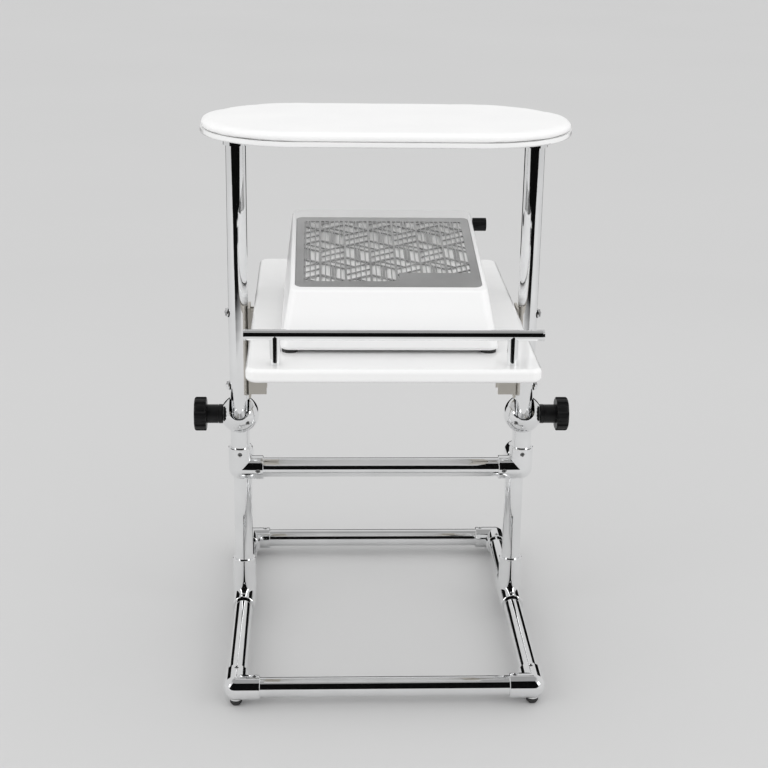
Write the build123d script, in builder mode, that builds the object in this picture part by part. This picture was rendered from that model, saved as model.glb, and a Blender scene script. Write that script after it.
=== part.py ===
from build123d import *
import math
import os

os.makedirs("parts", exist_ok=True)

# Manicure table: a stand of 25 mm tube in cast sockets, a tilting upper frame on two clamped
# swivel balls, a padded hand rest, a shelf with a rail, and a dust collector on the shelf.
# Origin: on the floor, under the middle of the whole table.
# +X to the sitter's right, +Y away from the sitter, +Z up. Millimetres.

SIDES = (("left", -1), ("right", 1))
UP = (0, 0, 1)
DOWN = (0, 0, -1)
FORWARD = (0, -1, 0)
BACKWARD = (0, 1, 0)

# Tube and cast sockets
TUBE_R = 12.5
TUBE_WALL = 1.2
SOCKET_R = 15.5
SOCKET_BORE_R = 12.55
SHOULDER = 13.5             # from a socket's centre to where the tube stops
ARM_CORNER = 30.0           # length of a corner's socket, from its centre
ARM_STEP = 27.0             # shorter sockets, where two castings face each other
ARM_TEE_RUN = 40.0
ARM_TEE_POST = 57.0
MOUTH_CHAMFER = 0.7
SET_SCREW_R = 2.4
SET_SCREW_HOLE_R = 2.5
SET_SCREW_REACH = 23.0      # from the socket's centre, along the arm
SET_SCREW_EDGE = 6.0        # least distance from the socket's mouth
SET_SCREW_EDGE_LONG = 8.0   # the same on the tee's long arms
SET_SCREW_RIM = 0.7         # countersink round the hole
SET_SCREW_DEPTH = 5.0
SET_SCREW_LENGTH = 2.0
SET_SCREW_SUNK = 0.9        # the screw's end lies this far below the surface
SET_SCREW_KEY_R = 1.4
SET_SCREW_KEY_DEPTH = 1.3

# Rubber feet with a stem that presses into the castings
FOOT_TOP_R = 7.5
FOOT_GROUND_R = 5.0
FOOT_HEIGHT = 7.5
FOOT_STEM_R = 2.2
FOOT_STEM = 6.0
FOOT_STEM_ROOM = 0.3

# Layout of the stand
POST_X = 185.0
BASE_Z = 23.0
BASE_MID_Y = 42.0
BASE_HALF_DEPTH = 222.0
FRONT_Y = BASE_MID_Y - BASE_HALF_DEPTH
REAR_Y = BASE_MID_Y + BASE_HALF_DEPTH
LOWER_POST_Y = 77.0
STEP = 56.0                 # the upper frame stands this far forward of the lower posts
UPPER_Y = LOWER_POST_Y - STEP
CROSSBAR_Z = 236.0
PIVOT_Z = 311.0

# Swivel balls and their clamps
BALL_R = 25.0
SEAT_DROP = 21.6            # flat under the ball, where the neck tube ends
SPIGOT_R = TUBE_R - TUBE_WALL - 0.05
SPIGOT_LENGTH = 24.0
SLOT_R = 13.0
SLOT_ANGLE = 60.0           # the slot lets the post lean this far forward
LEAN = (0, -math.sin(math.radians(SLOT_ANGLE)), math.cos(math.radians(SLOT_ANGLE)))
BALL_SCREW = Vector(-0.45, -0.87, -0.21).normalized()   # outwards, forwards, up
SPOT_FACE_X = 22.0
CLAMP_SCREW_R = 4.0
CLAMP_HOLE_R = 4.08
CLAMP_SCREW_INNER = -20.0   # from the ball's centre, inwards
CLAMP_SCREW_OUTER = 52.0
CLAMP_SCREW_CHAMFER = 0.6
CLAMP_SCREW_ROOM = 0.5      # past the clamp screw's blind end
PLUG_RISE = 7.0             # full-diameter part of the plug above the pivot
PLUG_SPIGOT = 22.0
KNOB_START = 22.3
KNOB_FLANGE = (12.5, 27.0)  # radius, end
KNOB_GROOVE = (11.4, 27.9)
KNOB_STEM = (12.2, 43.0)
KNOB_HEAD = (22.0, 58.5)
KNOB_END_R = 3.0
KNOB_BACK_R = 1.5
KNOB_FLUTES = 10
KNOB_FLUTE_R = 5.0
KNOB_FLUTE_RING_R = 24.6

# Hand rest
BOARD_BOTTOM = 681.0
BOARD_THICK = 6.5
BOARD_SIZE = (456.0, 236.0)
PAD_SIZE = (460.0, 240.0)
PAD_TOP = 698.0
BOARD_EDGE_R = 2.0
PAD_EDGE_R = 4.0
FLANGE_R = 25.0
FLANGE_THICK = 3.0
FLANGE_BOTTOM = BOARD_BOTTOM - FLANGE_THICK
FLANGE_COLLAR = 14.5
FLANGE_SCREW_PCD_R = 20.0
FLANGE_SCREWS = 3

# Shelf, its brackets and rail
SHELF_BOTTOM = 455.0
SHELF_THICK = 16.0
SHELF_TOP = SHELF_BOTTOM + SHELF_THICK
SHELF_WIDTH = 327.0
SHELF_FRONT = -279.5
SHELF_REAR = 213.0
SHELF_CORNER_R = 14.0
SHELF_EDGE_R = 5.0
BRACKET_BOTTOM = 338.0
BRACKET_CHEEK_BOTTOM = 343.0
BRACKET_WEB_TOP = 458.0
BRACKET_THICK = 3.0
BRACKET_OUTER_X = POST_X - TUBE_R
BRACKET_INNER_X = 149.5
BRACKET_HALF_Y = 15.0
BOLT_HEIGHTS = (350.0, 448.0)
BOLT_R = 3.0
BOLT_HOLE_R = 3.1
BOLT_HEAD = (5.5, 4.0)      # radius, height
BOLT_END = 4.0              # past the far side of the post
CAP_NUT_WASHER = (6.2, 1.2)
CAP_NUT_HEX = (5.6, 2.6)
CAP_NUT_DOME_R = 4.6
CAP_NUT_DOME_AT = 3.0
ARM_THICK = 3.0
ARM_FRONT = -165.0
ARM_REAR = 195.0
ARM_X = (140.0, 164.0)
ARM_LIP = 15.0
ARM_LIP_SHORTER = 10.0      # the lip stops short of the arm's rounded ends
ARM_END_R = 5.0
ARM_SCREW_X = 149.5
ARM_SCREW_YS = (-140.0, -20.0, 170.0)
RAIL_R = 6.0
RAIL_WALL = 1.0
RAIL_CAP_RIM = 0.4
RAIL_CAP_THICK = 2.0
RAIL_CAP_TAPER = 12.0
RAIL_CAP_PLUG = (4.95, 8.0)     # radius, length
RAIL_HALF = 163.5
RAIL_Y = -259.5
RAIL_Z = 505.0
STANDOFF_X = 131.0
WOOD_SCREW_R = 2.0
WOOD_SCREW_HOLE_R = 2.1
WOOD_SCREW_HEAD = (3.8, 2.4)
WOOD_SCREW_HEAD_TAPER = 15.0
WOOD_SCREW_CROSS = (4.4, 0.9)
WOOD_SCREW_CROSS_DEPTH = 1.2
WOOD_SCREW_BITE = 5.0

# Dust collector, standing loose on the shelf
COLLECTOR_X = -3.0
COLLECTOR_Y = -79.5
COLLECTOR_FLOOR = 475.0
FLOOR_THICK = 3.0
FLOOR_INSET = 0.5
FLOOR_EDGE_R = 1.0
SHELL_BOTTOM = COLLECTOR_FLOOR + FLOOR_THICK
COLLECTOR_FOOT_R = 9.0
COLLECTOR_FOOT_INSET = 11.0     # from each side of the base to a foot's centre
SHELL_BASE = (247.0, 283.0)
SHELL_TOP_WIDTH = 225.0
SHELL_FRONT_TOP = (-190.0, 536.0)   # Y, Z
SHELL_REAR_TOP = (56.0, 575.5)
SHELL_WALL = 3.0
SHELL_CORNER_R = 12.0
SHELL_EDGE_R = 4.0
TOP_RISE = SHELL_REAR_TOP[1] - SHELL_FRONT_TOP[1]
TOP_RUN = SHELL_REAR_TOP[0] - SHELL_FRONT_TOP[0]
TOP_SLOPE = math.atan2(TOP_RISE, TOP_RUN)
TOP_LENGTH = math.hypot(TOP_RISE, TOP_RUN)
TOP_MIDDLE = (COLLECTOR_X, SHELL_FRONT_TOP[0] + TOP_RUN / 2, SHELL_FRONT_TOP[1] + TOP_RISE / 2)
TOP_NORMAL = (0, -math.sin(TOP_SLOPE), math.cos(TOP_SLOPE))
TOP_PLANE = Plane(origin=TOP_MIDDLE, x_dir=(1, 0, 0), z_dir=TOP_NORMAL)
GRILLE_SHIFT = -9.0             # the grille lies nearer the front edge than the rear
GRILLE_MIDDLE = TOP_PLANE.from_local_coords((0, GRILLE_SHIFT, 0))
GRILLE_PLANE = Plane(origin=GRILLE_MIDDLE, x_dir=(1, 0, 0), z_dir=TOP_NORMAL)
GRILLE_SIZE = (214.0, 210.0)
GRILLE_THICK = 1.5
GRILLE_CORNER_R = 8.0
GRILLE_EDGE = 0.4
GRILLE_ROOM = 0.4               # round the plate in its recess
GRILLE_WINDOW_CORNER_R = 3.0
GRILLE_WINDOW = (194.0, 181.0)
GRILLE_WINDOW_SHIFT = 1.5
COLUMN_PITCH = 29.5
HEX_SIDE = COLUMN_PITCH / math.cos(math.radians(30))
FIRST_COLUMN_X = -78.0
FIRST_HEX_Y = -2.0
PLAIN_PATCH = (84.0, 24.0)
COLUMN_BAR = 2.6
HATCH_BAR = 1.3
BLOCK_TOP_BAR = 2.6
BLOCK_FOOT_BAR = 1.8
SHELF_LINE_BAR = 1.5
FILTER_SIZE = (198.0, 194.0)
FILTER_DEPTH = 16.0
FILTER_LEDGE = 6.0
FILTER_CORNER_R = 3.0
TRAY_WALL = 2.5
TRAY_CORNER_R = 5.0
FILTER_PLANE = GRILLE_PLANE.offset(-(SHELL_WALL + FILTER_DEPTH - TRAY_WALL))
FILTER_FRAME = (FILTER_SIZE[0] - 1, FILTER_SIZE[1] - 1)
FILTER_FRAME_R = 2.5
FILTER_FRAME_WIDTH = 5.0
FILTER_HEIGHT = 14.6            # its face lies just under the grille
PLEATS = 22
PLEAT_WIDTH = (FILTER_FRAME[0] - 2 * FILTER_FRAME_WIDTH) / PLEATS
PLEAT_LOW = 11.8                # above the cartridge's foot
PLEAT_SHEET = 1.2
PLEAT_OVERLAP = 1.0             # the pleats run this far into the frame
MOTOR_Y = -50.0
MOTOR_R = 24.0
MOTOR_HEIGHT = 17.0
MOTOR_EDGE_R = 2.0
MOTOR_BOSS = (6.0, 4.0)         # radius, height
MOTOR_EAR_R = 5.0
MOTOR_EAR_RING_R = 26.0
MOTOR_EAR_THICK = 3.0
SHAFT_ROOM = 0.06
FAN_R = 62.0
FAN_SHAFT_R = 2.5
FAN_BLADES = 12
FAN_BLADE = (38.0, 1.6)
FAN_BLADE_RING_R = 42.0
FAN_BLADE_TURN = 35.0
FAN_DISC_THICK = 2.0
FAN_HUB_R = 10.0
FAN_DEPTH = 16.0
FAN_BOTTOM = SHELL_BOTTOM + MOTOR_HEIGHT + MOTOR_BOSS[1] + 1.0
FAN_SHAFT_BOTTOM = SHELL_BOTTOM + 4.0
KNOB_Y = 42.0
KNOB_Z = 559.5
KNOB_R = 8.3
KNOB_LENGTH = 17.0
KNOB_WALL_X = 115.6
KNOB_TEETH = 24
KNOB_TOOTH = (0.8, 0.35)        # radius of each groove, how far its centre lies outside
KNOB_CHAMFER = 0.5
KNOB_MARK = (1.0, 5.8, 0.6)
DIAL_SHAFT_R = 3.0
CONTROL_X = (102.2, 108.5)
CONTROL_R = 7.5
BUSH_END_X = 114.8
BUSH_R = 3.6
BUSH_ROOM = 0.1
INLET_X = 60.0
INLET_Z = 503.0
INLET_REAR_Y = 62.5
INLET_SIZE = (32.0, 26.0)
INLET_CORNER_R = 2.0
INLET_DEPTH = 20.0
INLET_RECESS = (24.0, 17.0)
INLET_RECESS_R = 3.0
INLET_RECESS_DEPTH = 16.0
INLET_PINS = ((-7.0, -1.0), (0.0, 3.0), (7.0, -1.0))
INLET_PIN = (2.0, 4.0, 12.0)
INLET_ROOM = 0.2
INLET_MIDDLE = (COLLECTOR_X + INLET_X, INLET_REAR_Y, INLET_Z)
INLET_PLANE = Plane(origin=INLET_MIDDLE, x_dir=(-1, 0, 0), z_dir=BACKWARD)
VENTS = 10
VENT_PITCH = 9.0
VENT_SIZE = (34.0, 3.2)
VENT_MIDDLE = (COLLECTOR_X - 45.0, INLET_REAR_Y, 515.0)
VENT_PLANE = Plane(origin=VENT_MIDDLE, x_dir=(-1, 0, 0), z_dir=BACKWARD)
WALL_CUT = 10.0                 # enough to pass through the shell's wall

set_screw_places = []
wood_screw_places = []


def save(piece, label):
    """Name a finished piece and write it to its own file."""
    piece.part.label = label
    export_step(piece.part, f"parts/{label}.step")


def along(point, direction, distance):
    """The point that lies a distance away from another, in a direction."""
    return tuple(p + d * distance for p, d in zip(point, direction))


def tube(label, start, end, radius=TUBE_R, wall=TUBE_WALL, cross_holes=()):
    """Drawn round tube between two points, with optional holes along X at given heights."""
    axis = Vector(*end) - Vector(*start)
    with BuildPart() as piece:
        with BuildSketch(Plane(origin=start, z_dir=axis)):
            Circle(radius)
            Circle(radius - wall, mode=Mode.SUBTRACT)
        extrude(amount=axis.length)
        for height in cross_holes:
            with BuildSketch(Plane(origin=(start[0], start[1], height), z_dir=(1, 0, 0))):
                Circle(BOLT_HOLE_R)
            extrude(amount=2 * radius, both=True, mode=Mode.SUBTRACT)
    save(piece, label)


def casting(label, centre, arms, foot_boss=0.0):
    """Cast corner or tee. Each arm is (direction, length, set screw direction)."""
    with BuildPart() as piece:
        with Locations(centre):
            Sphere(SOCKET_R)
        for direction, length, _ in arms:
            with BuildSketch(Plane(origin=centre, z_dir=direction)):
                Circle(SOCKET_R)
            extrude(amount=length - MOUTH_CHAMFER)
            rim = along(centre, direction, length - MOUTH_CHAMFER)
            with BuildSketch(Plane(origin=rim, z_dir=direction)):
                Circle(SOCKET_R)
            extrude(amount=MOUTH_CHAMFER, taper=45)
        if foot_boss:
            with BuildSketch(Plane(origin=centre, z_dir=DOWN)):
                Circle(FOOT_TOP_R)
            extrude(amount=foot_boss)
            with BuildSketch(Plane(origin=along(centre, DOWN, foot_boss), z_dir=UP)):
                Circle(FOOT_STEM_R + FOOT_STEM_ROOM)
            extrude(amount=FOOT_STEM + 2 * FOOT_STEM_ROOM, mode=Mode.SUBTRACT)
        for direction, length, _ in arms:
            with BuildSketch(Plane(origin=along(centre, direction, SHOULDER), z_dir=direction)):
                Circle(SOCKET_BORE_R)
            extrude(amount=length, mode=Mode.SUBTRACT)
        for direction, length, screw in arms:
            if screw:
                reach = min(SET_SCREW_REACH, length - SET_SCREW_EDGE)
                if length > ARM_CORNER:
                    reach = length - SET_SCREW_EDGE_LONG
                seat = along(along(centre, direction, reach), screw, SOCKET_R)
                with Locations(Plane(origin=seat, z_dir=screw)):
                    CounterSinkHole(
                        SET_SCREW_HOLE_R, SET_SCREW_HOLE_R + SET_SCREW_RIM, depth=SET_SCREW_DEPTH
                    )
                set_screw_places.append((seat, screw))
    save(piece, label)


# --- Base on the floor ------------------------------------------------------------------

for row, row_y, inward in (("front", FRONT_Y, BACKWARD), ("rear", REAR_Y, FORWARD)):
    reach = POST_X - SHOULDER
    tube(f"base_{row}_tube", (-reach, row_y, BASE_Z), (reach, row_y, BASE_Z))
    for side, sign in SIDES:
        corner = (sign * POST_X, row_y, BASE_Z)
        arms = [((-sign, 0, 0), ARM_CORNER, UP), (inward, ARM_CORNER, UP)]
        casting(f"{row}_{side}_elbow", corner, arms, foot_boss=BASE_Z - FOOT_HEIGHT)

for side, sign in SIDES:
    x = sign * POST_X
    inner = (-sign, 0, 0)
    front_end = FRONT_Y + SHOULDER
    rear_end = REAR_Y - SHOULDER
    near_tee = LOWER_POST_Y - SHOULDER
    past_tee = LOWER_POST_Y + SHOULDER
    tube(f"{side}_front_side_tube", (x, front_end, BASE_Z), (x, near_tee, BASE_Z))
    tube(f"{side}_rear_side_tube", (x, past_tee, BASE_Z), (x, rear_end, BASE_Z))
    tee_arms = [
        (FORWARD, ARM_TEE_RUN, UP),
        (BACKWARD, ARM_TEE_RUN, UP),
        (UP, ARM_TEE_POST, inner),
    ]
    casting(f"{side}_base_tee", (x, LOWER_POST_Y, BASE_Z), tee_arms)
    post_foot = (x, LOWER_POST_Y, BASE_Z + SHOULDER)
    post_head = (x, LOWER_POST_Y, CROSSBAR_Z - SHOULDER)
    tube(f"{side}_lower_post", post_foot, post_head)
    step_arms = [(DOWN, ARM_CORNER, inner), (FORWARD, ARM_STEP, inner)]
    casting(f"{side}_step_elbow", (x, LOWER_POST_Y, CROSSBAR_Z), step_arms)
    step_start = (x, UPPER_Y + SHOULDER, CROSSBAR_Z)
    step_end = (x, LOWER_POST_Y - SHOULDER, CROSSBAR_Z)
    tube(f"{side}_step_tube", step_start, step_end)
    corner_arms = [
        (UP, ARM_CORNER, FORWARD),
        (inner, ARM_CORNER, FORWARD),
        (BACKWARD, ARM_STEP, inner),
    ]
    casting(f"{side}_crossbar_corner", (x, UPPER_Y, CROSSBAR_Z), corner_arms)
    neck_start = (x, UPPER_Y, CROSSBAR_Z + SHOULDER)
    neck_end = (x, UPPER_Y, PIVOT_Z - SEAT_DROP)
    tube(f"{side}_neck_tube", neck_start, neck_end)

crossbar_reach = POST_X - SHOULDER
crossbar_start = (-crossbar_reach, UPPER_Y, CROSSBAR_Z)
crossbar_end = (crossbar_reach, UPPER_Y, CROSSBAR_Z)
tube("crossbar_tube", crossbar_start, crossbar_end)

with BuildPart() as rubber_feet:
    for foot_y in (FRONT_Y, REAR_Y):
        for sign in (-1, 1):
            foot_place = (sign * POST_X, foot_y, 0)
            with BuildSketch(Plane(origin=foot_place, x_dir=(1, 0, 0), z_dir=FORWARD)):
                with BuildLine():
                    FilletPolyline(
                        (0, 0),
                        (FOOT_GROUND_R, 0),
                        (FOOT_TOP_R, FOOT_HEIGHT * 0.45),
                        (FOOT_TOP_R, FOOT_HEIGHT),
                        (FOOT_STEM_R, FOOT_HEIGHT),
                        (FOOT_STEM_R, FOOT_HEIGHT + FOOT_STEM),
                        (0, FOOT_HEIGHT + FOOT_STEM),
                        radius=[1.2, 2.0, 0.4, 0.2, 0.4],
                    )
                    Line((0, FOOT_HEIGHT + FOOT_STEM), (0, 0))
                make_face()
            revolve(axis=Axis(foot_place, UP))
save(rubber_feet, "rubber_feet")


# --- Swivel balls and clamps ------------------------------------------------------------

for side, sign in SIDES:
    pivot = (sign * POST_X, UPPER_Y, PIVOT_Z)
    outward = (sign, 0, 0)
    ball_screw = (BALL_SCREW.X * sign, BALL_SCREW.Y, BALL_SCREW.Z)

    with BuildPart() as swivel_ball:
        with Locations(pivot):
            Sphere(BALL_R)
        split(bisect_by=Plane.XY.offset(PIVOT_Z - SEAT_DROP), keep=Keep.TOP)
        with BuildSketch(Plane(origin=along(pivot, DOWN, SEAT_DROP), z_dir=DOWN)):
            Circle(SPIGOT_R)
        extrude(amount=SPIGOT_LENGTH)
        with BuildSketch(Plane(origin=along(pivot, outward, SPOT_FACE_X), z_dir=outward)):
            Circle(BALL_R)
        extrude(amount=BALL_R, mode=Mode.SUBTRACT)
        with Locations(pivot):
            Sphere(SLOT_R, mode=Mode.SUBTRACT)
        for slot_direction in (UP, LEAN):
            with BuildSketch(Plane(origin=pivot, z_dir=slot_direction)):
                Circle(SLOT_R)
            extrude(amount=2 * BALL_R, mode=Mode.SUBTRACT)
        with BuildSketch(Plane(origin=pivot, x_dir=BACKWARD, z_dir=(1, 0, 0))):
            with BuildLine():
                Polyline(
                    (0, 0),
                    (0, 2 * BALL_R),
                    (2 * BALL_R * LEAN[1], 2 * BALL_R * LEAN[2]),
                    close=True,
                )
            make_face()
        extrude(amount=SLOT_R, both=True, mode=Mode.SUBTRACT)
        stud_start = along(pivot, outward, CLAMP_SCREW_INNER - CLAMP_SCREW_ROOM)
        with BuildSketch(Plane(origin=stud_start, z_dir=outward)):
            Circle(CLAMP_HOLE_R)
        extrude(amount=2 * BALL_R, mode=Mode.SUBTRACT)
        screw_seat = along(pivot, ball_screw, BALL_R)
        with Locations(Plane(origin=screw_seat, z_dir=ball_screw)):
            CounterSinkHole(
                SET_SCREW_HOLE_R, SET_SCREW_HOLE_R + SET_SCREW_RIM, depth=SET_SCREW_DEPTH
            )
        set_screw_places.append((screw_seat, ball_screw))
    save(swivel_ball, f"{side}_swivel_ball")

    with BuildPart() as swivel_plug:
        with Locations(pivot):
            Sphere(TUBE_R)
        split(bisect_by=Plane.XY.offset(PIVOT_Z), keep=Keep.BOTTOM)
        with BuildSketch(Plane(origin=pivot)):
            Circle(TUBE_R)
        extrude(amount=PLUG_RISE)
        with BuildSketch(Plane(origin=along(pivot, UP, PLUG_RISE))):
            Circle(SPIGOT_R)
        extrude(amount=PLUG_SPIGOT)
        with BuildSketch(Plane(origin=pivot, z_dir=outward)):
            Circle(CLAMP_HOLE_R)
        extrude(amount=2 * TUBE_R, both=True, mode=Mode.SUBTRACT)
    save(swivel_plug, f"{side}_swivel_plug")

    with BuildPart() as clamp_screw:
        with BuildSketch(Plane(origin=along(pivot, outward, CLAMP_SCREW_INNER), z_dir=outward)):
            Circle(CLAMP_SCREW_R)
        extrude(amount=CLAMP_SCREW_OUTER - CLAMP_SCREW_INNER)
        chamfer(clamp_screw.edges(), CLAMP_SCREW_CHAMFER)
    save(clamp_screw, f"{side}_clamp_screw")

    with BuildPart() as clamp_knob:
        start = KNOB_START
        for radius, end in (KNOB_FLANGE, KNOB_GROOVE, KNOB_STEM, KNOB_HEAD):
            with BuildSketch(Plane(origin=along(pivot, outward, start), z_dir=outward)):
                Circle(radius)
            extrude(amount=end - start)
            start = end
        head_end = along(pivot, outward, KNOB_HEAD[1])
        head_start = along(pivot, outward, KNOB_STEM[1])
        rims = clamp_knob.edges().filter_by(GeomType.CIRCLE)
        end_rim = rims.filter_by(lambda e: (e.arc_center - Vector(*head_end)).length < 0.01)
        inner_rim = rims.filter_by(
            lambda e: (e.arc_center - Vector(*head_start)).length < 0.01 and e.radius > KNOB_STEM[0]
        )
        fillet(end_rim, KNOB_END_R)
        fillet(inner_rim, KNOB_BACK_R)
        with BuildSketch(Plane(origin=head_start, z_dir=outward)):
            with PolarLocations(KNOB_FLUTE_RING_R, KNOB_FLUTES):
                Circle(KNOB_FLUTE_R)
        extrude(amount=KNOB_HEAD[1] - KNOB_STEM[1], mode=Mode.SUBTRACT)
        with BuildSketch(Plane(origin=along(pivot, outward, KNOB_START), z_dir=outward)):
            Circle(CLAMP_SCREW_R)
        extrude(amount=CLAMP_SCREW_OUTER - KNOB_START, mode=Mode.SUBTRACT)
    save(clamp_knob, f"{side}_clamp_knob")


# --- Upper frame ------------------------------------------------------------------------

for side, sign in SIDES:
    x = sign * POST_X
    post_start = (x, UPPER_Y, PIVOT_Z + PLUG_RISE)
    tube(f"{side}_upper_post", post_start, (x, UPPER_Y, FLANGE_BOTTOM), cross_holes=BOLT_HEIGHTS)

    with BuildPart() as post_flange:
        with BuildSketch(Plane(origin=(x, UPPER_Y, FLANGE_BOTTOM))):
            Circle(FLANGE_R)
        extrude(amount=FLANGE_THICK)
        with BuildSketch(Plane(origin=(x, UPPER_Y, FLANGE_BOTTOM), z_dir=DOWN)):
            Circle(SOCKET_R)
        extrude(amount=FLANGE_COLLAR)
        with BuildSketch(Plane(origin=(x, UPPER_Y, FLANGE_BOTTOM), z_dir=DOWN)):
            Circle(SOCKET_BORE_R)
        extrude(amount=FLANGE_COLLAR, mode=Mode.SUBTRACT)
        with BuildSketch(Plane(origin=(x, UPPER_Y, FLANGE_BOTTOM))):
            with PolarLocations(FLANGE_SCREW_PCD_R, FLANGE_SCREWS, start_angle=90):
                Circle(WOOD_SCREW_HOLE_R)
        extrude(amount=FLANGE_THICK, mode=Mode.SUBTRACT)
    for index in range(FLANGE_SCREWS):
        turn = math.radians(90 + 360 / FLANGE_SCREWS * index)
        screw_x = x + FLANGE_SCREW_PCD_R * math.cos(turn)
        screw_y = UPPER_Y + FLANGE_SCREW_PCD_R * math.sin(turn)
        wood_screw_places.append((screw_x, screw_y, FLANGE_BOTTOM, BOARD_BOTTOM))
    save(post_flange, f"{side}_post_flange")

    with BuildPart() as shelf_arm:
        arm_mid_x = sign * (ARM_X[0] + ARM_X[1]) / 2
        arm_mid_y = (ARM_FRONT + ARM_REAR) / 2
        arm_length = ARM_REAR - ARM_FRONT
        with BuildSketch(Plane.XY.offset(SHELF_BOTTOM - ARM_THICK)):
            with Locations((arm_mid_x, arm_mid_y)):
                RectangleRounded(ARM_X[1] - ARM_X[0], arm_length, ARM_END_R)
        extrude(amount=ARM_THICK)
        with BuildSketch(Plane.XY.offset(SHELF_BOTTOM - ARM_THICK)):
            with Locations((sign * (ARM_X[0] + ARM_THICK / 2), arm_mid_y)):
                Rectangle(ARM_THICK, arm_length - ARM_LIP_SHORTER)
        extrude(amount=-ARM_LIP)
        with Locations(Plane.XY.offset(SHELF_BOTTOM - ARM_THICK)):
            with Locations(*[(sign * ARM_SCREW_X, y) for y in ARM_SCREW_YS]):
                Hole(WOOD_SCREW_HOLE_R)
    for screw_y in ARM_SCREW_YS:
        arm_bottom = SHELF_BOTTOM - ARM_THICK
        wood_screw_places.append((sign * ARM_SCREW_X, screw_y, arm_bottom, SHELF_BOTTOM))
    save(shelf_arm, f"{side}_shelf_arm")

    with BuildPart() as bracket:
        web_x = sign * (BRACKET_OUTER_X - BRACKET_THICK / 2)
        cheek_x = sign * (BRACKET_OUTER_X + BRACKET_INNER_X) / 2
        cheek_depth = BRACKET_OUTER_X - BRACKET_INNER_X
        cheek_y = BRACKET_HALF_Y - BRACKET_THICK / 2
        with BuildSketch(Plane.XY.offset(BRACKET_BOTTOM)):
            with Locations((web_x, UPPER_Y)):
                Rectangle(BRACKET_THICK, 2 * BRACKET_HALF_Y)
        extrude(amount=BRACKET_WEB_TOP - BRACKET_BOTTOM)
        with BuildSketch(Plane.XY.offset(BRACKET_CHEEK_BOTTOM)):
            with Locations((cheek_x, UPPER_Y - cheek_y), (cheek_x, UPPER_Y + cheek_y)):
                Rectangle(cheek_depth, BRACKET_THICK)
        extrude(amount=SHELF_BOTTOM - ARM_THICK - BRACKET_CHEEK_BOTTOM)
        for height in BOLT_HEIGHTS:
            with BuildSketch(Plane(origin=(web_x, UPPER_Y, height), z_dir=(1, 0, 0))):
                Circle(BOLT_HOLE_R)
            extrude(amount=BRACKET_THICK, both=True, mode=Mode.SUBTRACT)
    save(bracket, f"{side}_shelf_bracket")

with BuildPart() as bracket_bolts:
    for _, sign in SIDES:
        for height in BOLT_HEIGHTS:
            seat = (sign * (BRACKET_OUTER_X - BRACKET_THICK), UPPER_Y, height)
            with BuildSketch(Plane(origin=seat, z_dir=(-sign, 0, 0))):
                RegularPolygon(BOLT_HEAD[0], 6)
            extrude(amount=BOLT_HEAD[1])
            with BuildSketch(Plane(origin=seat, z_dir=(sign, 0, 0))):
                Circle(BOLT_R)
            extrude(amount=BRACKET_THICK + 2 * TUBE_R + BOLT_END)
save(bracket_bolts, "bracket_bolts")

with BuildPart() as cap_nuts:
    for _, sign in SIDES:
        for height in BOLT_HEIGHTS:
            seat = (sign * (POST_X + TUBE_R), UPPER_Y, height)
            outward = (sign, 0, 0)
            with BuildSketch(Plane(origin=seat, z_dir=outward)):
                Circle(CAP_NUT_WASHER[0])
            extrude(amount=CAP_NUT_WASHER[1])
            hex_seat = along(seat, outward, CAP_NUT_WASHER[1])
            with BuildSketch(Plane(origin=hex_seat, z_dir=outward)):
                RegularPolygon(CAP_NUT_HEX[0], 6)
            extrude(amount=CAP_NUT_HEX[1])
            with Locations(Plane(origin=along(seat, outward, CAP_NUT_DOME_AT), z_dir=outward)):
                Sphere(CAP_NUT_DOME_R, arc_size1=0)
            with BuildSketch(Plane(origin=seat, z_dir=outward)):
                Circle(BOLT_R)
            extrude(amount=BOLT_END, mode=Mode.SUBTRACT)
save(cap_nuts, "cap_nuts")

with BuildPart() as top_board:
    with BuildSketch(Plane.XY.offset(BOARD_BOTTOM)):
        with Locations((0, UPPER_Y)):
            SlotOverall(*BOARD_SIZE)
    extrude(amount=BOARD_THICK)
    fillet(top_board.edges().group_by(Axis.Z)[0], BOARD_EDGE_R)
    flange_holes = [(p[0], p[1]) for p in wood_screw_places if p[3] == BOARD_BOTTOM]
    with BuildSketch(Plane.XY.offset(BOARD_BOTTOM)):
        with Locations(*flange_holes):
            Circle(WOOD_SCREW_R)
    extrude(amount=WOOD_SCREW_BITE, mode=Mode.SUBTRACT)
save(top_board, "top_board")

with BuildPart() as top_pad:
    with BuildSketch(Plane.XY.offset(BOARD_BOTTOM + BOARD_THICK)):
        with Locations((0, UPPER_Y)):
            SlotOverall(*PAD_SIZE)
    extrude(amount=PAD_TOP - BOARD_BOTTOM - BOARD_THICK)
    fillet(top_pad.edges().group_by(Axis.Z)[-1], PAD_EDGE_R)
save(top_pad, "top_pad")


# --- Shelf and rail ---------------------------------------------------------------------

with BuildPart() as shelf_board:
    with BuildSketch(Plane.XY.offset(SHELF_BOTTOM)):
        with Locations((0, (SHELF_FRONT + SHELF_REAR) / 2)):
            RectangleRounded(SHELF_WIDTH, SHELF_REAR - SHELF_FRONT, SHELF_CORNER_R)
    extrude(amount=SHELF_THICK)
    fillet(shelf_board.edges().group_by(Axis.Z)[0], SHELF_EDGE_R)
    fillet(shelf_board.edges().group_by(Axis.Z)[-1], SHELF_EDGE_R)
    arm_holes = [(p[0], p[1]) for p in wood_screw_places if p[3] == SHELF_BOTTOM]
    with BuildSketch(Plane.XY.offset(SHELF_BOTTOM)):
        with Locations(*arm_holes):
            Circle(WOOD_SCREW_R)
    extrude(amount=WOOD_SCREW_BITE, mode=Mode.SUBTRACT)
save(shelf_board, "shelf_board")

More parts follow.
